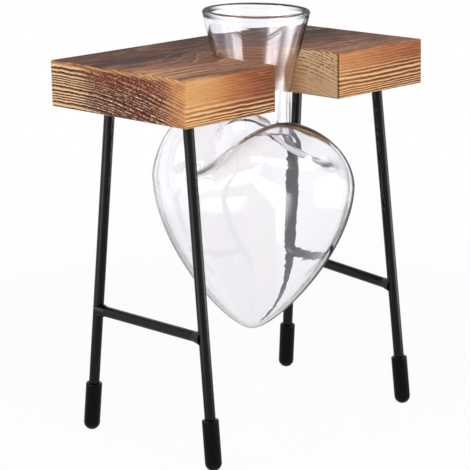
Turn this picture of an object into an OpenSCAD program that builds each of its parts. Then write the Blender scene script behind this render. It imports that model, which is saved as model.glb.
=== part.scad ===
// Hanging vase: a heart of clear blown glass held by its neck in a slotted pine board.
// The board stands on two welded wire end frames with rubber feet.
// The origin is on the floor under the middle of the board. The slot opens towards -Y.

/* [Board] */
// Length of the board
board_l = 182; // [150:1:260]
// Depth of the board, front to back
board_w = 105; // [92:1:150]
// Thickness of the board
board_t = 25; // [18:0.5:34]
// Height of the board's top above the floor
board_top_z = 211; // [190:1:300]
// Radius of the board's softened edges
board_edge_r = 1.2; // [0.5:0.1:2.5]

/* [Slot] */
// Width of the slot, which is the diameter of its round end
slot_w = 48.4; // [44:0.2:56]
// Distance from the board's front face to the centre of the round end
slot_reach = 38.5; // [30:0.5:60]
// How far the slot lies from the middle of the board, towards the left
slot_left = 2; // [0:0.5:20]
// Radius of the slot's softened edges
slot_edge_r = 0.9; // [0.4:0.1:2]

/* [End frames] */
// Diameter of the upright rods
rod_d = 5.9; // [4:0.1:8]
// Distance from the board's long faces to the rods' tops, at its underside
rod_inset = 22.1; // [17:0.1:30]
// How far each rod's foot stands out beyond its top, to the front or the back
rod_splay = 18.8; // [8:0.1:30]
// How far the frames sit forward of the middle of the board
frame_forward = 0.7; // [0:0.1:3]
// Distance from the board's left end to the left frame's rods
left_inset = 21.5; // [15:0.5:40]
// Distance from the board's right end to the right frame's rods
right_inset = 14.5; // [12:0.5:40]
// How far the left frame leans outwards over its height
left_lean = 4.8; // [0:0.1:12]
// How far the right frame leans outwards over its height
right_lean = 3.8; // [0:0.1:12]
// How far the right frame's feet are turned, the front one inwards and the back one outwards
right_twist = 2.5; // [0:0.1:5]
// Depth of the blind holes that take the rods' tops
socket_depth = 16; // [8:0.5:17]
// Gap around a rod in its blind hole
socket_gap = 0.06; // [0.02:0.01:0.2]
// Diameter of the crossbars
bar_d = 5.8; // [3.5:0.1:5.9]
// Height of the crossbars' centre line above the floor
bar_z = 70.6; // [50:0.5:120]
// How far the right crossbar's front end lies below that height
right_bar_drop = 1.6; // [0:0.1:5]
// How far the right crossbar's back end lies above it
right_bar_rise = 3.8; // [0:0.1:5]
// Reach of a weld bead along the crossbar
weld_l = 4; // [1:0.1:6]
// Thickness of a weld bead around the crossbar at the rod
weld_h = 1.2; // [0.4:0.1:1.6]
// Gap left between a crossbar's coped end and the rod
weld_gap = 0.04; // [0.02:0.01:0.1]

/* [Rubber feet] */
// Outer diameter of a rubber cap
cap_d = 9.1; // [8.2:0.1:12]
// Length of a rubber cap along its rod
cap_l = 28; // [15:0.5:40]
// Thickness of the rubber below the rod's end
cap_floor = 5; // [4.7:0.1:8]
// Radius of the rounded upper rim of a cap
cap_rim_r = 0.8; // [0.4:0.1:1]
// Gap between a rod and its cap's bore
cap_gap = 0.05; // [0.02:0.01:0.1]
// Depth of the flat that each cap's round end wears against the floor
cap_flat = 0.25; // [0.1:0.05:0.6]

/* [Vase neck] */
// Outer diameter of the mouth at the rim's bead
mouth_d = 58.4; // [54:0.2:70]
// Height of the rim's top above the board
mouth_rise = 23.2; // [18:0.2:40]
// Diameter of the fire-polished bead of the rim
rim_bead_d = 3; // [2.2:0.1:4]
// Gap between the neck's cone and the slot at the board's top
seat_gap = 0.45; // [0.3:0.05:1]
// Outer diameter of the throat, the neck's narrowest place
throat_d = 38.6; // [32:0.2:42]
// Depth of the throat below the board's top
throat_drop = 24; // [18:0.5:30]
// Depth of the neck's foot, where the heart begins, below the board's top
foot_drop = 39; // [34:0.5:50]
// Outer diameter of the neck at its foot
foot_d = 38.8; // [34:0.2:42]
// Thickness of the glass in the neck
neck_wall = 1.8; // [1.4:0.1:2.6]

/* [Vase heart] */
// Reach of the front lobe from the vase's axis
lobe_front = 62.5; // [58:0.5:75]
// Reach of the back lobe from the vase's axis
lobe_back = 70.5; // [58:0.5:75]
// Half the heart's thickness across the lobes
heart_half_t = 52; // [44:0.5:58]
// Distance from the axis to the crest of each lobe
crest_reach = 32; // [28:0.5:40]
// Depth of the lobes' crests below the board's top
crest_drop = 33.5; // [32.5:0.5:40]
// Depth of the lobes' widest place below the board's top
lobe_wide_drop = 69; // [60:1:85]
// Depth of the heart's thickest place below the board's top
side_wide_drop = 72; // [64:1:90]
// Depth of the heart's tip below the board's top
tip_drop = 155.5; // [140:0.5:165]
// Roundness of the cleft between the lobes, as a share of a full wave
cleft_share = 0.42; // [0.2:0.02:1]
// Thickness of the glass in the heart
heart_wall = 2.2; // [1.8:0.1:3]
// Turn of the lobes away from the slot's direction, in degrees
lobe_turn = -16; // [-30:1:30]
// Tilt at which the vase hangs, in degrees
vase_tilt = 1.5; // [0:0.1:2]
// Direction of the axis about which it tilts, in degrees from +X
tilt_heading = 46; // [0:1:90]

/* [Hidden] */
$fn = 64;

wood_colour = "#a9713f";
steel_colour = "#17181a";
rubber_colour = "#0d0d0e";
glass_colour = "#dfe6ea";

// Overrun of every cut past the face it leaves
over = 1;
underside_z = board_top_z - board_t;
slot_r = slot_w / 2;
// Centre of the slot's round end, which is the vase's axis
seat_x = -slot_left;
seat_y = slot_reach - board_w / 2;
rod_r = rod_d / 2;
bar_r = bar_d / 2;
cap_r = cap_d / 2;
LEFT = -1;
RIGHT = 1;
FRONT = -1;
BACK = 1;

// Place where a rod's axis meets the board's underside
function rod_top(side, end) = [
    side * board_l / 2 - side * (side == LEFT ? left_inset : right_inset),
    end * (board_w / 2 - rod_inset) - frame_forward,
    underside_z];

// Centre of the rounded end of a rod's cap
function rod_foot(side, end) = [
    rod_top(side, end)[0] + side * (side == LEFT ? left_lean : right_lean)
        + (side == RIGHT ? end * right_twist : 0),
    rod_top(side, end)[1] + end * rod_splay,
    cap_r - cap_flat];

// Point on a rod's axis at a given height
function rod_at(side, end, z) =
    let (a = rod_foot(side, end), b = rod_top(side, end))
    a + (b - a) * (z - a[2]) / (b[2] - a[2]);

// Carries its children from the z axis to the line from a to b, starting at a
module along(a, b) {
    d = b - a;
    translate(a)
        rotate([0, acos(d[2] / norm(d)), atan2(d[1], d[0])])
            children();
}

// Rectangle with round corners, centred
module rounded_rectangle(w, h, r) {
    square([w - 2 * r, h], center = true);
    square([w, h - 2 * r], center = true);
    for (sx = [-1, 1], sy = [-1, 1])
        translate([sx * (w / 2 - r), sy * (h / 2 - r)]) circle(r);
}

// Plank with every edge softened: three rounded profiles crossed
module plank() {
    intersection() {
        linear_extrude(board_t + 2 * over, center = true)
            rounded_rectangle(board_l, board_w, board_edge_r);
        rotate([90, 0, 0])
            linear_extrude(board_w + 2 * over, center = true)
                rounded_rectangle(board_l, board_t, board_edge_r);
        rotate([90, 0, 90])
            linear_extrude(board_l + 2 * over, center = true)
                rounded_rectangle(board_w, board_t, board_edge_r);
    }
}

// What is left of a square corner when a round of radius r is taken out of it
module corner_waste(r) {
    difference() {
        translate([-over, -over]) square(r + over);
        translate([r, r]) circle(r);
    }
}

// Outline of the slot with its two softened mouth corners
module slot_outline() {
    circle(slot_r);
    translate([-slot_r, -slot_reach - over])
        square([slot_w, slot_reach + over]);
    for (side = [LEFT, RIGHT])
        translate([side * slot_r, -slot_reach])
            mirror([side == LEFT ? 1 : 0, 0]) corner_waste(slot_edge_r);
}

// Cutter that softens the slot's edge at one face of the board
module slot_edge_cutter() {
    rotate_extrude()
        translate([slot_r, 0]) corner_waste(slot_edge_r);
    for (side = [LEFT, RIGHT])
        translate([side * slot_r, 0, 0])
            mirror([side == LEFT ? 1 : 0, 0, 0])
                rotate([90, 0, 0])
                    linear_extrude(slot_reach + over) corner_waste(slot_edge_r);
}

// Blind hole in the underside for one rod. The quarter turn keeps the bore's seam clear of
// the points where its mouth is widest.
module rod_socket(side, end) {
    top = rod_top(side, end);
    foot = rod_foot(side, end);
    along(top, top + (top - foot))
        translate([0, 0, -over]) rotate([0, 0, 90])
            cylinder(h = socket_depth + over, r = rod_r + socket_gap);
}

module board() {
    color(wood_colour) difference() {
        translate([0, 0, underside_z + board_t / 2]) plank();
        translate([seat_x, seat_y, underside_z - over])
            linear_extrude(board_t + 2 * over) slot_outline();
        translate([seat_x, seat_y, underside_z]) slot_edge_cutter();
        translate([seat_x, seat_y, board_top_z]) mirror([0, 0, 1]) slot_edge_cutter();
        for (side = [LEFT, RIGHT], end = [FRONT, BACK]) rod_socket(side, end);
    }
}

// Round rod from the floor of its cap's bore to the end of its blind hole
module rod(side, end) {
    foot = rod_foot(side, end);
    top = rod_top(side, end);
    lift = cap_floor - cap_r + cap_gap;
    color(steel_colour)
        along(foot, top)
            translate([0, 0, lift])
                cylinder(h = norm(top - foot) - lift + socket_depth - socket_gap, r = rod_r);
}

// Rod's body, used to cope what is welded to it
module rod_cope(side, end) {
    along(rod_foot(side, end), rod_top(side, end))
        cylinder(h = board_top_z, r = rod_r + weld_gap);
}

// Bar welded between the two rods of one end frame, with a bead at each end
module crossbar(side) {
    front = rod_at(side, FRONT, bar_z - (side == RIGHT ? right_bar_drop : 0));
    back = rod_at(side, BACK, bar_z + (side == RIGHT ? right_bar_rise : 0));
    span = norm(back - front);
    // Bar and beads are turned as one. A bead runs from inside the rod's round to its reach
    // past the rod.
    start = rod_r / 3;
    reach = rod_r + weld_l;
    bead_r = bar_r + weld_h;
    color(steel_colour) difference() {
        along(front, back)
            rotate_extrude()
                polygon([[0, start], [bead_r, start], [bar_r, reach],
                         [bar_r, span - reach], [bead_r, span - start], [0, span - start]]);
        rod_cope(side, FRONT);
        rod_cope(side, BACK);
    }
}

// Rubber sleeve with a half-round end, a rounded rim and a bore for the rod
module cap(side, end) {
    foot = rod_foot(side, end);
    tube_l = cap_l - cap_r;
    color(rubber_colour) difference() {
        along(foot, rod_top(side, end))
            difference() {
                rotate_extrude() {
                    intersection() {
                        circle(cap_r);
                        translate([0, -cap_r]) square([cap_r, 2 * cap_r]);
                    }
                    square([cap_r, tube_l - cap_rim_r]);
                    square([cap_r - cap_rim_r, tube_l]);
                    translate([cap_r - cap_rim_r, tube_l - cap_rim_r]) circle(cap_rim_r);
                }
                translate([0, 0, cap_floor - cap_r])
                    cylinder(h = cap_l, r = rod_r + cap_gap);
            }
        // Floor
        translate([foot[0] - cap_d, foot[1] - cap_d, -cap_d])
            cube([2 * cap_d, 2 * cap_d, cap_d]);
    }
}

// Glass. The shell is a net of rows round the axis and columns down the wall.
// Each row is given by its radius and height at the front lobe, back lobe and sides.

glass_columns = 60;
// Rows along each stretch of the wall, from the rim down
cone_rows = 2;
throat_rows = 5;
foot_rows = 2;
crest_rows = 8;
shoulder_rows = 9;
tip_rows = 15;
bead_rows = 6;

// Heights here are measured from the board's top, downwards negative
seat_r = slot_r - seat_gap;
bead_r = rim_bead_d / 2;
bead_c = [mouth_d / 2 - bead_r, mouth_rise - bead_r];
// Angle at which the wall leaves the bead, below the horizontal
bead_angle = 50;
// Depth below the bead's centre where the straight cone begins
cone_top_z = bead_c[1] - rim_bead_d * 3 / 4;
throat_r = throat_d / 2;
foot_r = foot_d / 2;

// Handles of the curves, as shares of the stretch they bend
throat_handle_share = 0.38;
foot_handle_share = 0.4;
gutter_share = 0.6;
crest_handle_share = 0.62;
shoulder_out_share = 0.74;
shoulder_up_share = 0.72;
flank_share = 0.41;
tip_lobe_share = 0.18;
side_down_share = 0.9;
side_out_share = 0.1;
side_up_share = 0.5;
side_flank_share = 0.48;
tip_side_share = 0.26;

function bezier(a, b, c, d, t) =
    pow(1 - t, 3) * a + 3 * pow(1 - t, 2) * t * b + 3 * (1 - t) * t * t * c + pow(t, 3) * d;

// Points of a curve without its last one, so that stretches can follow each other
function stretch(a, b, c, d, n) = [for (i = [0:n - 1]) bezier(a, b, c, d, i / n)];

// Outer wall of the neck from under the bead to the neck's foot
cone_slope = (mouth_d / 2 - bead_r * (1 - cos(bead_angle)) - seat_r) / cone_top_z;
cone_top = [seat_r + cone_slope * cone_top_z, cone_top_z];
seat = [seat_r, 0];
throat = [throat_r, -throat_drop];
neck_foot = [foot_r, -foot_drop];
neck_curve = concat(
    stretch(cone_top, (2 * cone_top + seat) / 3, (cone_top + 2 * seat) / 3, seat, cone_rows),
    stretch(seat,
            seat - throat_drop * throat_handle_share * [cone_slope, 1],
            throat + [0, throat_drop * throat_handle_share],
            throat, throat_rows),
    stretch(throat,
            throat - [0, (foot_drop - throat_drop) * foot_handle_share],
            neck_foot + [0, (foot_drop - throat_drop) * foot_handle_share],
            neck_foot, foot_rows));

// Outer wall of a lobe that reaches w from the axis, from the neck's foot to the tip
function lobe_curve(w) =
    let (crest = [crest_reach, -crest_drop],
         wide = [w, -lobe_wide_drop],
         tip = [0, -tip_drop],
         gutter = foot_drop - crest_drop,
         drop = lobe_wide_drop - crest_drop,
         fall = tip_drop - lobe_wide_drop)
    concat(
        stretch(neck_foot,
                neck_foot - [0, gutter * gutter_share],
                crest - [(crest_reach - foot_r) * crest_handle_share, 0],
                crest, crest_rows),
        stretch(crest,
                crest + [(w - crest_reach) * shoulder_out_share, 0],
                wide + [0, drop * shoulder_up_share],
                wide, shoulder_rows),
        stretch(wide,
                wide - [0, fall * flank_share],
                tip + [w * tip_lobe_share, 0],
                tip, tip_rows));

// Outer wall in the middle of a side, where the cleft runs down from the neck
side_curve =
    let (wide = [heart_half_t, -side_wide_drop],
         tip = [0, -tip_drop],
         drop = side_wide_drop - foot_drop,
         fall = tip_drop - side_wide_drop)
    concat(
        stretch(neck_foot,
                neck_foot - [0, drop * side_down_share],
                wide + [-heart_half_t * side_out_share, drop * side_up_share],
                wide, crest_rows + shoulder_rows),
        stretch(wide,
                wide - [0, fall * side_flank_share],
                tip + [heart_half_t * tip_side_share, 0],
                tip, tip_rows));

// Unit normal of a curve at point i, pointing into the vase
function inward(curve, i) =
    let (a = curve[max(i - 1, 0)],
         b = i < len(curve) - 1 ? curve[i + 1] : [0, -tip_drop],
         d = (b - a) / norm(b - a))
    [d[1], -d[0]];

// Thickness of the glass at row i, growing over the lobes' crests
function wall_at(i) =
    let (first = len(neck_curve))
    neck_wall + (heart_wall - neck_wall) * min(max((i - first) / crest_rows, 0), 1);

function inner_curve(curve) = [
    for (i = [0:len(curve) - 1]) curve[i] + wall_at(i) * inward(curve, i)];

// The rim's bead, from the outer wall over the top to the inner wall
bead_curve = [
    for (i = [0:bead_rows])
        let (angle = -bead_angle + i * (180 + 2 * bead_angle) / bead_rows)
        bead_c + bead_r * [cos(angle), sin(angle)]];

function reversed(list) = [for (i = [len(list) - 1:-1:0]) list[i]];

// One unbroken curve for the whole wall, from the outer tip over the rim to the inner tip
function wall_curve(body) =
    let (outer = concat(neck_curve, body))
    concat(reversed(outer), bead_curve, inner_curve(outer));

front_wall = wall_curve(lobe_curve(lobe_front));
back_wall = wall_curve(lobe_curve(lobe_back));
side_wall = wall_curve(side_curve);
wall_rows = len(side_wall);

// Share of the lobes' height at an angle round the axis: 1 at a lobe, 0 in the cleft
function lift_share(angle) =
    (sqrt(pow(cos(angle), 2) + pow(cleft_share, 2)) - cleft_share)
    / (sqrt(1 + pow(cleft_share, 2)) - cleft_share);

function glass_point(row, angle) =
    let (lobe = (cos(angle) >= 0 ? front_wall : back_wall)[row],
         side = side_wall[row])
    [-side[0] * sin(angle),
     -lobe[0] * cos(angle),
     side[1] + (lobe[1] - side[1]) * lift_share(angle)];

glass_points = concat(
    [[0, 0, -tip_drop]],
    [for (row = [0:wall_rows - 1], col = [0:glass_columns - 1])
        glass_point(row, col * 360 / glass_columns)],
    [[0, 0, heart_wall - tip_drop]]);

glass_faces = let (n = glass_columns, last = 1 + wall_rows * n) concat(
    [for (c = [0:n - 1]) [0, 1 + (c + 1) % n, 1 + c]],
    [for (r = [0:wall_rows - 2], c = [0:n - 1])
        [1 + r * n + c, 1 + (r + 1) * n + (c + 1) % n, 1 + (r + 1) * n + c]],
    [for (r = [0:wall_rows - 2], c = [0:n - 1])
        [1 + r * n + c, 1 + r * n + (c + 1) % n, 1 + (r + 1) * n + (c + 1) % n]],
    [for (c = [0:n - 1]) [last, last - n + c, last - n + (c + 1) % n]]);

module vase() {
    color(glass_colour)
        translate([seat_x, seat_y, board_top_z])
            rotate(a = vase_tilt, v = [cos(tilt_heading), sin(tilt_heading), 0])
                rotate([0, 0, lobe_turn])
                    polyhedron(glass_points, glass_faces, convexity = 8);
}

board();
rod(LEFT, FRONT);  // rod_front_left
rod(LEFT, BACK);  // rod_back_left
rod(RIGHT, FRONT);  // rod_front_right
rod(RIGHT, BACK);  // rod_back_right
crossbar(LEFT);  // crossbar_left
crossbar(RIGHT);  // crossbar_right
cap(LEFT, FRONT);  // cap_front_left
cap(LEFT, BACK);  // cap_back_left
cap(RIGHT, FRONT);  // cap_front_right
cap(RIGHT, BACK);  // cap_back_right
vase();
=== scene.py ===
import math
from collections import namedtuple

import bmesh
import bpy
import numpy as np
from mathutils import Matrix, Vector


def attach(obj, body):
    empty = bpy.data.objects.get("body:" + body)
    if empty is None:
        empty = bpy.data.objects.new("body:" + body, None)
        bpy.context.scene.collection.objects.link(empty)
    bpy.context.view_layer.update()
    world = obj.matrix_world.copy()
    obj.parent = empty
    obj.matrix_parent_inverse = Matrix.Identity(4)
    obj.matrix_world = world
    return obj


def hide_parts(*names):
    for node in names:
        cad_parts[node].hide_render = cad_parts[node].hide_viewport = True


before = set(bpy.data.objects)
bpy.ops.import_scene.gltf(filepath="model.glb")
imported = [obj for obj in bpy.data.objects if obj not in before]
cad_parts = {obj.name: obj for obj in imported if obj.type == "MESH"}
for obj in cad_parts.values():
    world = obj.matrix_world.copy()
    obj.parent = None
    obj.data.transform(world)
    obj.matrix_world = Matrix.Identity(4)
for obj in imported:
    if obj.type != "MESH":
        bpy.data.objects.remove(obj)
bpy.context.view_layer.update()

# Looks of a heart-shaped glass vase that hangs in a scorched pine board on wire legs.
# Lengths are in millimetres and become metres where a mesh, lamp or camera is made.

MM = 0.001

# Board and slot, as in the part's source
BOARD_L, BOARD_W, BOARD_T = 182.0, 105.0, 25.0
BOARD_TOP = 211.0
BOARD_BOTTOM = BOARD_TOP - BOARD_T
SLOT_R, SLOT_REACH, SLOT_LEFT = 24.2, 38.5, 2.0
SEAT_X, SEAT_Y = -SLOT_LEFT, SLOT_REACH - BOARD_W / 2

# Vase, as in the part's source. Drops are measured down from the board's top.
MOUTH_D, MOUTH_RISE, BEAD_D = 58.4, 23.2, 3.0
SEAT_GAP, THROAT_D, THROAT_DROP = 0.45, 38.6, 24.0
FOOT_D, FOOT_DROP = 38.8, 39.0
NECK_WALL, HEART_WALL = 1.8, 2.2
LOBE_FRONT, LOBE_BACK, HEART_HALF_T = 62.5, 70.5, 52.0
CREST_REACH, CREST_DROP = 32.0, 33.5
LOBE_WIDE_DROP, SIDE_WIDE_DROP, TIP_DROP = 69.0, 72.0, 155.5
CLEFT_SHARE = 0.42
LOBE_TURN, VASE_TILT, TILT_HEADING = -16.0, 1.5, 46.0
RIM_TOP = BOARD_TOP + MOUTH_RISE


# Node trees

class Graph:
    """A node tree, with short calls for the nodes that are used here."""

    def __init__(self, tree):
        self.tree = tree
        tree.nodes.clear()

    def feed(self, socket, value):
        if isinstance(value, bpy.types.NodeSocket):
            self.tree.links.new(value, socket)
        elif socket.type == "RGBA" and len(value) == 3:
            socket.default_value = (*value, 1.0)
        else:
            socket.default_value = value

    def node(self, kind, values=None, **settings):
        made = self.tree.nodes.new(kind)
        for name, value in settings.items():
            setattr(made, name, value)
        for name, value in (values or {}).items():
            self.feed(made.inputs[name], value)
        return made

    def math(self, operation, *values, clamp=False):
        made = self.node("ShaderNodeMath", operation=operation, use_clamp=clamp)
        for socket, value in zip(made.inputs, values):
            self.feed(socket, value)
        return made.outputs[0]

    def add(self, a, b):
        return self.math("ADD", a, b)

    def mul(self, a, b):
        return self.math("MULTIPLY", a, b)

    def mul_add(self, a, b, c, clamp=False):
        """a times b, plus c."""
        return self.math("MULTIPLY_ADD", a, b, c, clamp=clamp)

    def larger(self, a, b):
        return self.math("MAXIMUM", a, b)

    def absolute(self, value):
        return self.math("ABSOLUTE", value)

    def length(self, x, y):
        return self.math("SQRT", self.add(self.mul(x, x), self.mul(y, y)))

    def span(self, value, low, high, out_low=0.0, out_high=1.0):
        """Smooth step of value from out_low at low to out_high at high."""
        made = self.node("ShaderNodeMapRange", {
            "Value": value, "From Min": low, "From Max": high,
            "To Min": out_low, "To Max": out_high}, interpolation_type="SMOOTHSTEP")
        return made.outputs["Result"]

    def band(self, value, start, full, fade, end):
        """Smooth step of value up from start to full, and down again from fade to end."""
        return self.mul(self.span(value, start, full), self.span(value, fade, end, 1.0, 0.0))

    def around(self, x, y, azimuth, half_width, soft, at_middle, outside):
        """Smooth step over the bearing of x and y from an azimuth, both in degrees."""
        middle = math.radians(azimuth)
        toward = self.add(self.mul(x, math.cos(middle)), self.mul(y, math.sin(middle)))
        aside = self.math("ARCCOSINE", self.math("DIVIDE", toward, self.length(x, y)))
        return self.span(aside, math.radians(half_width - soft), math.radians(half_width + soft),
                         at_middle, outside)

    def blend(self, share, a, b):
        """Number a where share is 0, and b where it is 1."""
        made = self.node("ShaderNodeMix", {0: share, 2: a, 3: b}, data_type="FLOAT")
        return made.outputs[0]

    def tint(self, share, a, b):
        """Colour a where share is 0, and b where it is 1."""
        made = self.node("ShaderNodeMix", {0: share, 6: a, 7: b}, data_type="RGBA")
        return made.outputs[2]

    def ramp(self, value, stops):
        made = self.node("ShaderNodeValToRGB", {"Fac": value})
        marks = made.color_ramp.elements
        while len(marks) < len(stops):
            marks.new(0.5)
        for mark, (place, colour) in zip(marks, stops):
            mark.position = place
            mark.color = (*colour, 1.0)
        return made.outputs["Color"]

    def place(self):
        """Place on the piece in millimetres, as three numbers."""
        coordinates = self.node("ShaderNodeTexCoord").outputs["Object"]
        scaled = self.node("ShaderNodeVectorMath", {0: coordinates}, operation="SCALE")
        scaled.inputs["Scale"].default_value = 1.0 / MM
        split = self.node("ShaderNodeSeparateXYZ", {0: scaled.outputs[0]})
        return split.outputs[0], split.outputs[1], split.outputs[2]

    def noise(self, place, pitch, detail=2.0, rough=0.5, shift=0.0):
        """Noise about zero, from -0.5 to 0.5, whose features are pitch long on each axis."""
        x, y, z = place
        at = self.node("ShaderNodeCombineXYZ", {
            0: self.mul_add(x, 1.0 / pitch[0], shift),
            1: self.mul(y, 1.0 / pitch[1]), 2: self.mul(z, 1.0 / pitch[2])}).outputs[0]
        made = self.node("ShaderNodeTexNoise", {
            "Vector": at, "Scale": 1.0, "Detail": detail, "Roughness": rough})
        return self.add(made.outputs["Fac"], -0.5)

    def bump(self, height, depth):
        """Normal bent by height, where a height of 1 stands depth millimetres proud."""
        made = self.node("ShaderNodeBump", {
            "Height": height, "Distance": depth * MM, "Strength": 1.0})
        return made.outputs["Normal"]

    def mix(self, share, a, b):
        """Shader a where share is 0, and b where it is 1."""
        return self.node("ShaderNodeMixShader", {0: share, 1: a, 2: b}).outputs[0]

    def surface(self, shader, kind="ShaderNodeOutputMaterial"):
        self.node(kind, {"Surface": shader})

    def coat(self, colour, roughness, specular, normal):
        """Surface of a piece that light doesn't pass through."""
        shine = self.node("ShaderNodeBsdfPrincipled", {
            "Base Color": colour, "Roughness": roughness, "Specular IOR Level": specular,
            "Normal": normal})
        self.surface(shine.outputs[0])


def srgb(r, g, b):
    """A colour as the screen shows it, from 0 to 255, as the linear one that nodes take."""
    def linear(c):
        c /= 255.0
        return c / 12.92 if c <= 0.04045 else ((c + 0.055) / 1.055) ** 2.4
    return linear(r), linear(g), linear(b)


def new_material(name):
    made = bpy.data.materials.new(name)
    made.use_nodes = True
    return made, Graph(made.node_tree)


# Pine, torched and brushed. Growth rings run round a pith line along X far below the board.

PITH_Y, PITH_Z = 44.0, -120.0
RING_PITCH = 1.75
# Waves of the rings: their length on each axis, the noise's shift, and their depth
RING_WAVES = [((150.0, 60.0, 60.0), 0.0, 6.0), ((38.0, 13.0, 13.0), 3.0, 1.1),
              ((9.0, 2.8, 2.4), 7.0, 0.7), ((4.0, 1.0, 0.8), 13.0, 0.4)]
# Wide and narrow years shift the rings by up to so many, and change so often in a millimetre
YEARS_SHIFT, YEARS_CHANGE = 2.2, 0.13
# The trunk swells in the middle, which draws arches on the top
SWELL_X, SWELL_Y, SWELL = 6.0, 2.0, 5.5
SWELL_REACH_X, SWELL_REACH_Y = 70.0, 34.0
TRUNK_TAPER = 0.02

# Lines within a ring, as the phases where they start, are full, fade and end
PALE_LINE, DARK_LINE = (0.0, 0.1, 0.25, 0.5), (0.45, 0.7, 0.9, 1.0)
THIN_PALE_LINE, THIN_DARK_LINE = (0.76, 0.85, 0.9, 0.97), (0.55, 0.7, 0.76, 0.84)
BURNT_PALE_LINE = (0.0, 0.08, 0.16, 0.36)

# Patterns: how long their features are on each axis, and the noise's detail, roughness, shift
PATCH = ((70.0, 20.0, 8.0), 2.0, 0.5, 11.0)
SMOKE = ((46.0, 17.0, 10.0), 3.0, 0.6, 21.0)
FIBRE = ((14.0, 0.7, 0.7), 3.0, 0.6, 5.0)
PORES = ((3.0, 0.45, 0.45), 2.0, 0.6, 2.0)
BREAKS = ((5.0, 2.2, 1.1), 2.0, 0.6, 17.0)
FLECKS = ((2.5, 1.3, 0.5), 1.0, 0.5, 29.0)
CHAR = ((70.0, 14.0, 400.0), 3.0, 0.6, 1.0)
EDGE_WAVES = ((20.0, 6.0, 6.0), 2.0)
# How far patches move the height up to which a face shows its lines, and how far the waves
# move the top's worn edge
PATCH_HEIGHT, EDGE_WAVE_HEIGHT = 9.0, 1.4

# How far short of its plane a face's look starts, and is full
FACE_START, FACE_FULL = 1.0, 0.3


def growth_rings(g, place):
    """Place within a ring, from 0 at the first early wood to 1 at the last late wood."""
    x, y, z = place
    away = g.length(g.add(y, -PITH_Y), g.add(z, -PITH_Z))
    for pitch, shift, depth in RING_WAVES:
        away = g.mul_add(g.noise(place, pitch, 1.0, shift=shift), depth, away)
    aside = g.length(g.mul(g.add(x, -SWELL_X), 1 / SWELL_REACH_X),
                     g.mul(g.add(y, -SWELL_Y), 1 / SWELL_REACH_Y))
    away = g.add(away, g.span(aside, 0.0, 1.0, SWELL, 0.0))
    away = g.mul_add(x, -TRUNK_TAPER, away)
    years = g.node("ShaderNodeTexNoise", {
        "W": g.mul(away, YEARS_CHANGE), "Scale": 1.0, "Detail": 1.0},
        noise_dimensions="1D").outputs["Fac"]
    return g.math("FRACT", g.mul_add(years, YEARS_SHIFT, g.mul(away, 1.0 / RING_PITCH)))


class Pine:
    """Places and patterns that the looks of the board's faces share."""

    def __init__(self, g):
        self.at = g.place()
        self.x, self.y, self.z = self.at
        self.phase = growth_rings(g, self.at)
        self.pale_line, self.dark_line, self.thin_pale, self.thin_dark, self.burnt_pale = [
            g.band(self.phase, *line)
            for line in (PALE_LINE, DARK_LINE, THIN_PALE_LINE, THIN_DARK_LINE, BURNT_PALE_LINE)]
        self.patch, self.smoke, self.fibre, self.pores, self.breaks, self.flecks = [
            g.noise(self.at, *pattern)
            for pattern in (PATCH, SMOKE, FIBRE, PORES, BREAKS, FLECKS)]
        self.patchy_z = g.mul_add(self.patch, PATCH_HEIGHT, self.z)
        self.wavy_z = g.mul_add(g.noise(self.at, *EDGE_WAVES), EDGE_WAVE_HEIGHT, self.z)


# A face's look: its ground colour, its pale and dark line, and how much of them shows
Look = namedtuple("Look", "ground pale dark pale_share dark_share")


def slot_wall(g, wood):
    """Sawn wood near the mouth, with flecks, and plainer and darker in the round end."""
    sawn = g.span(wood.y, -10.0, -32.0, 0.25, 1.0)
    tone = g.mul_add(wood.smoke, 0.8, g.span(wood.y, -8.0, -32.0, 0.08, 0.7))
    ground = g.ramp(tone, [
        (0.1, srgb(166, 104, 64)), (0.42, srgb(196, 142, 96)), (0.7, srgb(226, 182, 136))])
    flecks = g.mul(g.span(wood.flecks, 0.08, 0.16), 0.8)
    dashes = g.mul(wood.dark_line, g.mul_add(wood.breaks, -4.0, 0.4, clamp=True))
    higher = g.span(wood.z, BOARD_BOTTOM + 2.0, BOARD_TOP - 3.0, 0.12, 1.0)
    return Look(ground, srgb(242, 212, 170), srgb(70, 38, 24),
                g.mul(wood.pale_line, g.mul(sawn, 0.6)),
                g.mul(g.mul(sawn, higher), g.larger(flecks, dashes)))


def underside(g, wood):
    ground = g.tint(g.add(wood.patch, 0.5), srgb(204, 160, 112), srgb(228, 188, 140))
    return Look(ground, srgb(240, 208, 164), srgb(158, 108, 68),
                g.mul(wood.pale_line, 0.5), g.mul(wood.dark_line, 0.6))


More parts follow.
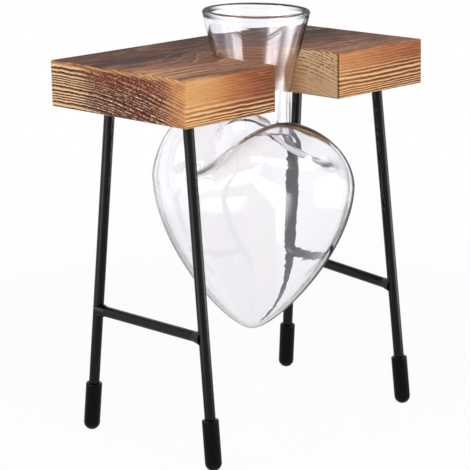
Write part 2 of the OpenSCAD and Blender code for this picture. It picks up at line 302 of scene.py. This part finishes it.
def ends(g, wood):
    """Both ends: burnt in the middle, where the pale lines break up into dashes and flecks."""
    across = g.mul_add(wood.smoke, 0.35, g.mul_add(wood.y, -1 / BOARD_W, 0.5))
    ground = g.ramp(across, [
        (0.0, srgb(206, 156, 114)), (0.17, srgb(184, 126, 86)), (0.3, srgb(132, 66, 42)),
        (0.5, srgb(112, 44, 25)), (0.72, srgb(122, 52, 30)), (0.87, srgb(152, 84, 50)),
        (1.0, srgb(212, 148, 94))])
    burnt = g.band(across, 0.14, 0.42, 0.8, 1.0)
    corner = g.span(across, 0.8, 0.98, 1.0, 0.2)
    lines = g.blend(burnt, wood.pale_line, wood.burnt_pale)
    dashes = g.blend(burnt, 0.9, g.mul_add(wood.breaks, 4.5, 0.3, clamp=True))
    flecks = g.mul(g.mul(burnt, g.span(wood.flecks, 0.12, 0.2)), 0.6)
    # The burnt part shows few lines near the top edge and many near the bottom one
    lower = g.span(wood.patchy_z, BOARD_TOP - 6.0, BOARD_TOP - 15.0, 0.35, 1.0)
    show = g.blend(burnt, 1.0, lower)
    return Look(ground,
                g.tint(burnt, srgb(250, 214, 174), srgb(255, 236, 208)),
                g.tint(burnt, srgb(34, 16, 12), srgb(38, 10, 6)),
                g.larger(g.mul(g.mul(lines, show), g.mul(corner, dashes)), flecks),
                g.mul(g.mul(wood.dark_line, show), g.mul(corner, 0.95)))


def sides(g, wood):
    """Front and back: on both sides of the slot they darken to the right."""
    right_part = g.span(wood.x, SEAT_X - 20.0, SEAT_X + 20.0)
    left_end, right_end = -BOARD_L / 2, BOARD_L / 2
    left_of_slot, right_of_slot = SEAT_X - SLOT_R - 1.8, SEAT_X + SLOT_R + 1.8
    left_tone = g.mul_add(wood.smoke, 0.45, g.span(wood.x, left_end, left_of_slot, 0.0, 1.0))
    right_tone = g.mul_add(wood.smoke, 0.5, g.span(wood.x, right_of_slot, right_end, 0.3, 0.8))
    tone = g.blend(right_part, left_tone, right_tone)
    ground = g.ramp(tone, [
        (0.0, srgb(228, 170, 112)), (0.3, srgb(210, 144, 92)), (0.6, srgb(182, 110, 70)),
        (0.85, srgb(156, 86, 58)), (1.0, srgb(132, 70, 48))])
    left_show = g.span(wood.patchy_z, BOARD_TOP - 11.0, BOARD_TOP - 19.5, 0.1, 1.0)
    right_show = g.span(wood.patchy_z, BOARD_TOP - 5.0, BOARD_TOP - 14.0, 0.16, 1.0)
    show = g.blend(right_part, left_show, right_show)
    return Look(ground, srgb(252, 214, 160),
                g.tint(g.span(tone, 0.0, 0.7), srgb(150, 88, 50), srgb(78, 34, 22)),
                g.mul(wood.pale_line, g.mul(show, 0.9)), g.mul(wood.dark_line, g.mul(show, 0.75)))


def top(g, wood):
    """Torched black-brown, and more so towards the back and the right."""
    char = g.mul_add(g.noise(wood.at, *CHAR), 1.5, g.span(wood.y, -32.0, 29.0, 0.13, 0.84))
    char = g.mul_add(g.span(wood.x, 0.0, 50.0), 0.28, char)
    char = g.mul_add(g.span(wood.y, BOARD_W / 2 - 4.5, BOARD_W / 2 - 0.5), 0.4, char)
    ground = g.ramp(char, [
        (0.0, srgb(214, 166, 118)), (0.2, srgb(176, 122, 92)), (0.4, srgb(134, 90, 74)),
        (0.62, srgb(98, 66, 58)), (0.85, srgb(76, 54, 50)), (1.0, srgb(60, 45, 42))])
    return Look(ground, srgb(206, 160, 126), srgb(52, 32, 27),
                g.mul(wood.thin_pale, g.span(char, 1.0, 0.2, 0.25, 0.75)),
                g.add(g.mul(wood.thin_dark, 0.6), g.mul(wood.dark_line, 0.2)))


def worn_edge(g, wood):
    """The rounded edge between the top and an end, where the char is rubbed off."""
    return Look(srgb(222, 164, 106), srgb(236, 188, 132), srgb(110, 62, 38),
                g.mul(wood.pale_line, 0.4),
                g.mul(wood.dark_line, g.mul_add(wood.breaks, 1.6, 0.35, clamp=True)))


def board_look(g, wood):
    """The look at each place: the slot's wall, with the other faces laid over it in turn."""
    along, across = g.absolute(wood.x), g.absolute(wood.y)
    at_bottom = g.span(wood.z, BOARD_BOTTOM + 0.9, BOARD_BOTTOM + 0.2)
    at_side = g.span(across, BOARD_W / 2 - FACE_START, BOARD_W / 2 - FACE_FULL)
    at_end = g.span(along, BOARD_L / 2 - FACE_START, BOARD_L / 2 - FACE_FULL)
    at_top = g.span(wood.wavy_z, BOARD_TOP - 0.9, BOARD_TOP + 0.1)
    near_end = g.span(along, BOARD_L / 2 - 2.4, BOARD_L / 2 - 0.6)
    near_top = g.span(wood.wavy_z, BOARD_TOP - 2.8, BOARD_TOP - 1.4)
    worn = g.mul(g.mul(near_end, near_top), g.mul_add(wood.smoke, 2.5, 0.55, clamp=True))
    layers = [(at_bottom, underside(g, wood)), (at_side, sides(g, wood)),
              (at_end, ends(g, wood)), (worn, worn_edge(g, wood)), (at_top, top(g, wood))]
    whole = slot_wall(g, wood)
    for share, face in layers:
        colours = [g.tint(share, a, b) for a, b in zip(whole[:3], face[:3])]
        shares = [g.blend(share, a, b) for a, b in zip(whole[3:], face[3:])]
        whole = Look(*colours, *shares)
    return whole


def mouth_edge(g, wood):
    """The slot's upright edges, where they meet the front."""
    off_edge = g.absolute(g.add(g.absolute(g.add(wood.x, -SEAT_X)), -SLOT_R))
    return g.mul(g.span(off_edge, 0.3, 0.9, 1.0, 0.0),
                 g.span(wood.y, 1.2 - BOARD_W / 2, 0.5 - BOARD_W / 2))


def pine_material():
    made, g = new_material("torched_pine")
    wood = Pine(g)
    look = board_look(g, wood)
    colour = g.tint(look.pale_share, look.ground, look.pale)
    colour = g.tint(look.dark_share, colour, look.dark)
    colour = g.tint(g.span(wood.pores, 0.05, 0.24, 0.0, 0.38), colour, look.dark)
    colour = g.tint(g.span(wood.fibre, 0.02, -0.25, 0.0, 0.22), colour, look.pale)
    # Darker along the slot's upright edges at the front
    edge_darkening = g.mul(mouth_edge(g, wood), 0.8)
    colour = g.tint(edge_darkening, colour, srgb(58, 26, 18))
    # Brushing leaves the late wood proud of the early wood
    height = g.mul_add(look.dark_share, 0.9, g.mul(wood.fibre, 0.4))
    height = g.mul_add(wood.pores, 0.3, height)
    g.coat(colour, roughness=g.blend(look.dark_share, 0.68, 0.55), specular=0.1,
           normal=g.bump(height, 0.28))
    return made


# Black coated steel, and rubber

def steel_material():
    made, g = new_material("satin_black_coating")
    place = g.place()
    mottle = g.noise(place, (9.0, 9.0, 9.0), 3.0)
    grit = g.noise(place, (0.5, 0.5, 0.5), 2.0, shift=3.0)
    colour = g.tint(g.add(mottle, 0.5), srgb(4, 4, 5), srgb(13, 13, 15))
    g.coat(colour, roughness=g.mul_add(mottle, 0.12, 0.24), specular=0.22,
           normal=g.bump(grit, 0.035))
    return made


def rubber_material():
    made, g = new_material("black_rubber")
    place = g.place()
    bloom = g.noise(place, (6.0, 6.0, 14.0), 3.0, 0.6)
    grit = g.noise(place, (0.35, 0.35, 0.35), 2.0, shift=5.0)
    colour = g.tint(g.add(bloom, 0.5), srgb(3, 3, 4), srgb(9, 9, 11))
    scuff = g.mul(g.span(place[2], 5.0, 0.5), 0.3)
    colour = g.tint(scuff, colour, srgb(48, 46, 46))
    g.coat(colour, roughness=g.mul_add(bloom, 0.16, 0.22), specular=0.11,
           normal=g.bump(grit, 0.03))
    return made


# Clear glass. Lamps shine through it, and shade is painted on it where it is seen edge on.

GLASS_IOR = 1.5
# Colour of the wall as it turns away from the eye: a faint tint, darkened by painted shade where it
# is seen edge on
GLASS_TINT_AND_EDGE_SHADE = [(0.0, (0.99, 0.979, 1.0)), (0.7, (0.985, 0.974, 1.0)), (0.86, (0.88, 0.88, 0.9)),
              (1.0, (0.5, 0.5, 0.52))]
GLASS_SHADOW = (0.93, 0.93, 0.94)
PAINTED_OUTLINE_COLOUR = srgb(26, 26, 30)


def painted_glass_outline(g, place, facing):
    """Share of the painted dark outline, shade that stands in for the dark surroundings seen in the
    glass; it grows towards the front right.
    """
    x, y, z = place
    share = g.span(g.add(g.mul(x, 0.7), g.mul(y, -0.7)), -20.0, 45.0, 0.35, 0.95)
    # It is faint where the neck stands in the slot, and in the folds of the cleft
    in_slot = g.band(z, BOARD_BOTTOM - 4.0, BOARD_BOTTOM + 2.0, BOARD_TOP - 4.0, BOARD_TOP + 2.0)
    in_folds = g.mul(g.band(z, BOARD_BOTTOM - 40.0, BOARD_BOTTOM - 30.0,
                            BOARD_BOTTOM - 16.0, BOARD_BOTTOM - 12.0),
                     g.span(y, -30.0, -20.0))
    share = g.mul(share, g.mul_add(g.larger(in_slot, in_folds), -0.8, 1.0))
    # It is broader along the front lobe's crest
    crest = g.mul(g.span(z, BOARD_BOTTOM - 24.0, BOARD_BOTTOM - 12.0), g.span(y, -24.0, -34.0))
    return g.mul(g.span(g.mul_add(crest, 0.12, facing), 0.75, 0.87), share)


def glass_material():
    made, g = new_material("clear_glass")
    place = g.place()
    facing = g.node("ShaderNodeLayerWeight", {"Blend": 0.5}).outputs["Facing"]
    # The blown wall has slight waves, which calm down in the neck
    calm = g.span(place[2], BOARD_BOTTOM - 25.0, BOARD_BOTTOM, 1.0, 0.12)
    wave = g.bump(g.mul(g.noise(place, (6.5, 6.5, 5.0), 1.5), calm), 0.04)
    # The fire-polished rim gets a painted dark line of its own
    at_rim = g.span(place[2], RIM_TOP - 3.6, RIM_TOP - 2.2)
    # Share of painted shade: the painted dark outline, and on the rim a painted dark line that grows
    # as the wall turns away from the eye
    dark = g.blend(at_rim, painted_glass_outline(g, place, facing), g.span(facing, 0.28, 0.72, 0.0, 0.9))
    wall = g.node("ShaderNodeBsdfPrincipled", {
        "Base Color": g.ramp(facing, GLASS_TINT_AND_EDGE_SHADE), "Roughness": 0.0, "IOR": GLASS_IOR,
        "Transmission Weight": 1.0, "Normal": wave})
    # A dark surface mixed in by that share, which paints the shade
    line = g.node("ShaderNodeBsdfPrincipled", {
        "Base Color": PAINTED_OUTLINE_COLOUR, "Roughness": 0.5, "Specular IOR Level": 0.1})
    clear = g.node("ShaderNodeBsdfTransparent", {"Color": GLASS_SHADOW})
    shadow = g.node("ShaderNodeLightPath").outputs["Is Shadow Ray"]
    seen = g.mix(dark, wall.outputs[0], line.outputs[0])
    g.surface(g.mix(shadow, seen, clear.outputs[0]))
    return made


# The vase's net, from the same curves as the part's source but finer

# Rows along each stretch of the wall, from the rim down, and columns round the vase
CONE_ROWS, THROAT_ROWS, FOOT_ROWS = 6, 10, 6
CREST_ROWS, SHOULDER_ROWS, TIP_ROWS = 16, 18, 30
BEAD_ROWS = 12
GLASS_COLUMNS = 180
# A finer net bulges a hair further than the part's own, so it is drawn in by as much
NET_SHARE = 0.9997

# Angle at which the wall leaves the rim's bead, below the horizontal
BEAD_ANGLE = math.radians(50)
BEAD_R = BEAD_D / 2
BEAD_Z = MOUTH_RISE - BEAD_R
SEAT_R = SLOT_R - SEAT_GAP
CONE_TOP_Z = BEAD_Z - BEAD_D * 3 / 4
CONE_SLOPE = (MOUTH_D / 2 - BEAD_R * (1 - math.cos(BEAD_ANGLE)) - SEAT_R) / CONE_TOP_Z
NECK_FOOT = np.array([FOOT_D / 2, -FOOT_DROP])
TIP = np.array([0.0, -TIP_DROP])

# Handles of the curves, as shares of the stretch they bend
THROAT_HANDLE, FOOT_HANDLE = 0.38, 0.4
GUTTER_SHARE, CREST_HANDLE = 0.6, 0.62
SHOULDER_OUT, SHOULDER_UP = 0.74, 0.72
FLANK_SHARE, TIP_LOBE_SHARE = 0.41, 0.18
SIDE_DOWN, SIDE_OUT, SIDE_UP = 0.9, 0.1, 0.5
SIDE_FLANK_SHARE, TIP_SIDE_SHARE = 0.48, 0.26


def stretch(a, b, c, d, rows):
    """A Bezier curve in rows steps, without its last point."""
    t = (np.arange(rows) / rows)[:, None]
    return (1 - t) ** 3 * a + 3 * (1 - t) ** 2 * t * b + 3 * (1 - t) * t * t * c + t ** 3 * d


def neck_curve():
    """Outer wall from under the bead to the neck's foot, as radius and height."""
    cone_top = np.array([SEAT_R + CONE_SLOPE * CONE_TOP_Z, CONE_TOP_Z])
    seat = np.array([SEAT_R, 0.0])
    throat = np.array([THROAT_D / 2, -THROAT_DROP])
    handle = THROAT_DROP * THROAT_HANDLE
    below = (FOOT_DROP - THROAT_DROP) * FOOT_HANDLE
    return np.vstack([
        stretch(cone_top, (2 * cone_top + seat) / 3, (cone_top + 2 * seat) / 3, seat, CONE_ROWS),
        stretch(seat, seat - handle * np.array([CONE_SLOPE, 1]), throat + [0, handle], throat,
                THROAT_ROWS),
        stretch(throat, throat - [0, below], NECK_FOOT + [0, below], NECK_FOOT, FOOT_ROWS)])


def lobe_curve(reach):
    """Outer wall of a lobe that reaches this far from the axis, from the neck's foot down."""
    crest, wide = np.array([CREST_REACH, -CREST_DROP]), np.array([reach, -LOBE_WIDE_DROP])
    gutter, drop = FOOT_DROP - CREST_DROP, LOBE_WIDE_DROP - CREST_DROP
    fall = TIP_DROP - LOBE_WIDE_DROP
    return np.vstack([
        stretch(NECK_FOOT, NECK_FOOT - [0, gutter * GUTTER_SHARE],
                crest - [(CREST_REACH - FOOT_D / 2) * CREST_HANDLE, 0], crest, CREST_ROWS),
        stretch(crest, crest + [(reach - CREST_REACH) * SHOULDER_OUT, 0],
                wide + [0, drop * SHOULDER_UP], wide, SHOULDER_ROWS),
        stretch(wide, wide - [0, fall * FLANK_SHARE], TIP + [reach * TIP_LOBE_SHARE, 0], TIP,
                TIP_ROWS)])


def side_curve():
    """Outer wall in the middle of a side, where the cleft runs down from the neck."""
    wide = np.array([HEART_HALF_T, -SIDE_WIDE_DROP])
    drop, fall = SIDE_WIDE_DROP - FOOT_DROP, TIP_DROP - SIDE_WIDE_DROP
    return np.vstack([
        stretch(NECK_FOOT, NECK_FOOT - [0, drop * SIDE_DOWN],
                wide + [-HEART_HALF_T * SIDE_OUT, drop * SIDE_UP], wide, CREST_ROWS + SHOULDER_ROWS),
        stretch(wide, wide - [0, fall * SIDE_FLANK_SHARE], TIP + [HEART_HALF_T * TIP_SIDE_SHARE, 0],
                TIP, TIP_ROWS)])


def bead_curve():
    """The rim's bead, from the outer wall over the top to the inner wall."""
    angles = np.linspace(-BEAD_ANGLE, math.pi + BEAD_ANGLE, BEAD_ROWS + 1)
    middle = np.array([MOUTH_D / 2 - BEAD_R, BEAD_Z])
    return middle + BEAD_R * np.stack([np.cos(angles), np.sin(angles)], 1)


def inner_wall(curve, first):
    """The curve moved into the glass by the wall's thickness, which grows from row first on."""
    before = np.vstack([curve[:1], curve[:-1]])
    after = np.vstack([curve[1:], TIP[None]])
    along = after - before
    along /= np.linalg.norm(along, axis=1)[:, None]
    share = np.clip((np.arange(len(curve)) - first) / CREST_ROWS, 0, 1)
    wall = NECK_WALL + (HEART_WALL - NECK_WALL) * share
    return curve + wall[:, None] * np.stack([along[:, 1], -along[:, 0]], 1)


def glass_net():
    """Rows of points from the outer tip over the rim to the inner tip, and which are inside."""
    neck, bead = neck_curve(), bead_curve()
    outers = [np.vstack([neck, body])
              for body in (lobe_curve(LOBE_FRONT), lobe_curve(LOBE_BACK), side_curve())]
    front, back, side = [np.vstack([outer[::-1], bead, inner_wall(outer, len(neck))])
                         for outer in outers]
    angle = np.arange(GLASS_COLUMNS) * 2 * math.pi / GLASS_COLUMNS
    lift = ((np.sqrt(np.cos(angle) ** 2 + CLEFT_SHARE ** 2) - CLEFT_SHARE)
            / (math.sqrt(1 + CLEFT_SHARE ** 2) - CLEFT_SHARE))
    lobe = np.where((np.cos(angle) >= 0)[None, :, None], front[:, None, :], back[:, None, :])
    rows = np.stack([
        -side[:, None, 0] * np.sin(angle)[None],
        -lobe[:, :, 0] * np.cos(angle)[None],
        side[:, None, 1] + (lobe[:, :, 1] - side[:, None, 1]) * lift[None]], -1)
    inside = np.arange(len(side)) >= len(outers[0]) + len(bead)
    return rows, inside


# Unevenness of the hand-blown wall inside: its depth, and the shares of its two kinds
UNEVEN_DEPTH, BROAD_SHARE, RIDGE_SHARE = 0.12, 0.2, 1.2
# Broad waves, counted round the vase, that wind by a radian over this height
BROAD_WAVES, WINDING = 3, 17.0
# Two bundles of upright ridges: how many would go round the vase, and the bundles' place,
# distance and width in degrees
RIDGE_WAVES, RIDGE_AT, RIDGE_APART, RIDGE_WIDTH = 10, 15.0, 216.0, 22.0
# It starts this far below the board's top and ends this far above the tip, over a fade
UNEVEN_TOP, UNEVEN_END, UNEVEN_FADE = 20.0, 12.0, 30.0
# Nearer to the axis than this the depth shrinks with the radius
LEAST_RADIUS = 8.0


def blow_uneven(rows, inside):
    """The rows with the inner wall made a little uneven."""
    columns = rows.shape[1]
    angle = np.arange(columns) * 2 * math.pi / columns
    off = [np.degrees(np.angle(np.exp(1j * (angle - math.radians(a)))))
           for a in (RIDGE_AT, RIDGE_AT + RIDGE_APART)]
    ridges = sum(np.exp(-(degrees / RIDGE_WIDTH) ** 2) for degrees in off)[None]
    z = rows[:, :, 2]
    uneven = (np.sin(BROAD_WAVES * angle[None] + z / WINDING) * BROAD_SHARE
              + np.cos(RIDGE_WAVES * (angle - math.radians(RIDGE_AT)))[None] * ridges * RIDGE_SHARE)
    fade = (np.clip((-z - UNEVEN_TOP) / UNEVEN_FADE, 0, 1)
            * np.clip((TIP_DROP - UNEVEN_END + z) / UNEVEN_FADE, 0, 1))
    radius = np.maximum(np.hypot(rows[:, :, 0], rows[:, :, 1]), LEAST_RADIUS)
    shrink = 1 - inside[:, None] * uneven * fade * UNEVEN_DEPTH / radius
    return rows * np.stack([shrink, shrink, np.ones_like(shrink)], -1)


def closed_faces(count, columns):
    """Faces of a net of rows that is closed round the axis and ends in one point at each end."""
    n, last = columns, 1 + count * columns
    faces = [(0, 1 + (c + 1) % n, 1 + c) for c in range(n)]
    for r in range(count - 1):
        for c in range(n):
            a, b = 1 + r * n + c, 1 + r * n + (c + 1) % n
            faces.append((a, b, b + n, a + n))
    return faces + [(last, last - n + c, last - n + (c + 1) % n) for c in range(n)]


def rotation(turn, tilt, heading):
    """Turn about Z and then tilt about a level line, all in degrees."""
    level = Vector((math.cos(math.radians(heading)), math.sin(math.radians(heading)), 0))
    return (Matrix.Rotation(math.radians(tilt), 3, level)
            @ Matrix.Rotation(math.radians(turn), 3, "Z"))


def new_object(name, data):
    """An object with this data, in the scene."""
    made = bpy.data.objects.new(name, data)
    bpy.context.scene.collection.objects.link(made)
    return made


def new_mesh_object(name, points, faces, material):
    """An object in the row frame, from points in millimetres."""
    mesh = bpy.data.meshes.new(name)
    mesh.from_pydata([tuple(p) for p in np.asarray(points) * MM], [], faces)
    mesh.materials.append(material)
    return new_object(name, mesh)


def fix_normals(piece):
    """Faces of a closed mesh turned outwards."""
    work = bmesh.new()
    work.from_mesh(piece.data)
    bmesh.ops.recalc_face_normals(work, faces=work.faces)
    if work.calc_volume(signed=True) < 0:
        bmesh.ops.reverse_faces(work, faces=work.faces)
    work.to_mesh(piece.data)
    work.free()


def build_vase(material):
    rows, inside = glass_net()
    rows = blow_uneven(rows, inside)
    points = np.vstack([[[0, 0, -TIP_DROP]], rows.reshape(-1, 3), [[0, 0, HEART_WALL - TIP_DROP]]])
    turned = points @ np.array(rotation(LOBE_TURN, VASE_TILT, TILT_HEADING)).T
    placed = turned * NET_SHARE + [SEAT_X, SEAT_Y, BOARD_TOP]
    made = new_mesh_object("vase_glass", placed, closed_faces(*rows.shape[:2]), material)
    made.data.shade_smooth()
    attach(made, "vase")
    fix_normals(made)
    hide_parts("vase")


# Stage: floor, light and camera

# Windows that gloss and glass mirror: azimuth from +X, half width and softness in degrees,
# brightness, and the sines of the heights where they start and end
WINDOWS = [(172.0, 20.0, 7.0, 9.5, 0.27, 0.62), (280.0, 13.5, 5.0, 9.0, 0.19, 0.52),
           (307.0, 16.0, 8.0, 3.0, 0.16, 0.32)]
WINDOW_FADE = 0.05
# The studio's dim side, where the photographer stands, which only shows mirrored: azimuth,
# half width and softness, and its brightness on the walls and on the floor
DIM_SIDE = (225.7, 60.0, 20.0)
DIM_LEVEL, FLOOR_DIM = 0.68, 0.7
# The windows' light on the floor as azimuth, half width, softness and brightness, and how far
# from the middle it starts and is full
FLOOR_LIGHT = [(174.0, 18.0, 12.0, 3.4), (312.0, 16.0, 12.0, 6.5)]
LIGHT_START, LIGHT_FULL = 300.0, 460.0
# Brightness of the studio on matt surfaces, and of its ceiling in gloss and glass, with the
# sines of the heights between which the white walls fade into the ceiling
AMBIENT, CEILING = 0.38, 0.04
CEILING_START, CEILING_FULL = 0.55, 0.85

FLOOR_HALF = 3000.0
FLOOR_GREY = (0.86, 0.86, 0.86)
# How much of the floor is plain white near the object, where it also shows the shadow, and
# how far from the middle that share starts to grow and is whole
FLOOR_WHITE, WHITE_START, WHITE_FULL = 0.95, 250.0, 600.0
WHITE = (1.0, 1.0, 1.0)


def floor_material():
    """White for rays that see it, but for a share near the object that is lit and shaded."""
    made, g = new_material("white_floor")
    x, y, _ = g.place()
    away = g.length(x, y)
    path = g.node("ShaderNodeLightPath").outputs
    seen = g.larger(path["Is Camera Ray"],
                    g.larger(path["Is Glossy Ray"], path["Is Transmission Ray"]))
    # Mirrored, the floor is dim on the photographer's side, with the windows' light on it
    mirrored = g.math("MODULO", path["Ray Depth"], 2.0)
    level = g.around(x, y, *DIM_SIDE, FLOOR_DIM, 1.0)
    for azimuth, half_width, soft, extra in FLOOR_LIGHT:
        level = g.add(level, g.around(x, y, azimuth, half_width, soft, extra, 0.0))
    level = g.blend(g.span(away, LIGHT_START, LIGHT_FULL), FLOOR_DIM, level)
    glow = g.node("ShaderNodeEmission", {
        "Color": WHITE, "Strength": g.blend(mirrored, 1.0, level)})
    plain = g.node("ShaderNodeBsdfDiffuse", {"Color": FLOOR_GREY})
    share = g.blend(g.span(away, WHITE_START, WHITE_FULL), FLOOR_WHITE, 1.0)
    g.surface(g.mix(g.mul(seen, share), plain.outputs[0], glow.outputs[0]))
    return made


def build_floor():
    half = FLOOR_HALF
    corners = [(-half, -half, 0), (half, -half, 0), (half, half, 0), (-half, half, 0)]
    floor = new_mesh_object("floor", corners, [(0, 1, 2, 3)], floor_material())


def build_world():
    world = bpy.data.worlds.new("studio")
    bpy.context.scene.world = world
    world.use_nodes = True
    g = Graph(world.node_tree)
    path = g.node("ShaderNodeLightPath").outputs
    way = g.node("ShaderNodeTexCoord").outputs["Generated"]
    x, y, height = g.node("ShaderNodeSeparateXYZ", {0: way}).outputs
    # A ray crosses glass walls in pairs of faces, so an odd count of bounces means a mirrored
    # one. The world counts the way to itself as one more.
    mirrored = g.math("MODULO", g.add(path["Ray Depth"], 1.0), 2.0)
    level = g.mul(g.span(height, CEILING_START, CEILING_FULL, 1.0, CEILING),
                  g.blend(mirrored, 1.0, g.around(x, y, *DIM_SIDE, DIM_LEVEL, 1.0)))
    for azimuth, half_width, soft, extra, low, high in WINDOWS:
        tall = g.band(height, low - WINDOW_FADE, low + WINDOW_FADE,
                      high - WINDOW_FADE, high + WINDOW_FADE)
        wide = g.around(x, y, azimuth, half_width, soft, extra, 0.0)
        level = g.mul_add(wide, g.mul(tall, mirrored), level)
    seen = g.larger(path["Is Glossy Ray"], path["Is Transmission Ray"])
    level = g.blend(seen, AMBIENT, level)
    level = g.blend(path["Is Camera Ray"], level, 1.0)
    back = g.node("ShaderNodeBackground", {"Color": WHITE, "Strength": level})
    g.surface(back.outputs[0], "ShaderNodeOutputWorld")


def add_lamp(name, place, aim, size, power):
    """A square lamp that lights the object but isn't seen or mirrored."""
    data = bpy.data.lights.new(name, "AREA")
    data.size = size * MM
    data.energy = power
    lamp = new_object(name, data)
    lamp.location = Vector(place) * MM
    lamp.rotation_euler = (Vector(aim) - Vector(place)).to_track_quat("-Z", "Y").to_euler()
    lamp.visible_camera = False
    lamp.visible_glossy = False
    lamp.visible_transmission = False


def build_lamps():
    middle = (0.0, 0.0, 130.0)
    add_lamp("key", (-300.0, -900.0, 950.0), middle, 700, 7.8)
    add_lamp("fill", (-1000.0, 100.0, 600.0), middle, 800, 4.4)


def build_camera():
    """The photograph's camera, as fitted to the corners and rods that it shows."""
    focal_pixels, image_pixels, sensor = 2026.036, 470.0, 36.0
    yaw, pitch, roll = math.radians(45.69), math.radians(13.88), math.radians(-1.06)
    target, reach = Vector((-13.563, -7.208, 110.0)), 1117.365
    nearest, furthest = 50.0, 20000.0
    ahead = Vector((math.cos(yaw) * math.cos(pitch), math.sin(yaw) * math.cos(pitch),
                    -math.sin(pitch)))
    level = Vector((math.sin(yaw), -math.cos(yaw), 0))
    above = level.cross(ahead)
    right = math.cos(roll) * level + math.sin(roll) * above
    up = -math.sin(roll) * level + math.cos(roll) * above
    data = bpy.data.cameras.new("camera")
    data.sensor_width = sensor
    data.lens = focal_pixels * sensor / image_pixels
    data.clip_start, data.clip_end = nearest * MM, furthest * MM
    camera = new_object("camera", data)
    turn = Matrix((right, up, -ahead)).transposed().to_4x4()
    camera.matrix_world = Matrix.Translation((target - reach * ahead) * MM) @ turn
    bpy.context.scene.camera = camera


def dress(node, material):
    """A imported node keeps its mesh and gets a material."""
    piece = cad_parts[node]
    piece.data.materials.clear()
    piece.data.materials.append(material)


build_camera()
build_floor()
build_world()
build_lamps()

dress("board", pine_material())
steel, rubber = steel_material(), rubber_material()
for side in ("left", "right"):
    dress("crossbar_" + side, steel)
    for end in ("front", "back"):
        dress(f"rod_{end}_{side}", steel)
        dress(f"cap_{end}_{side}", rubber)
build_vase(glass_material())

bpy.context.scene.view_settings.view_transform = "Standard"
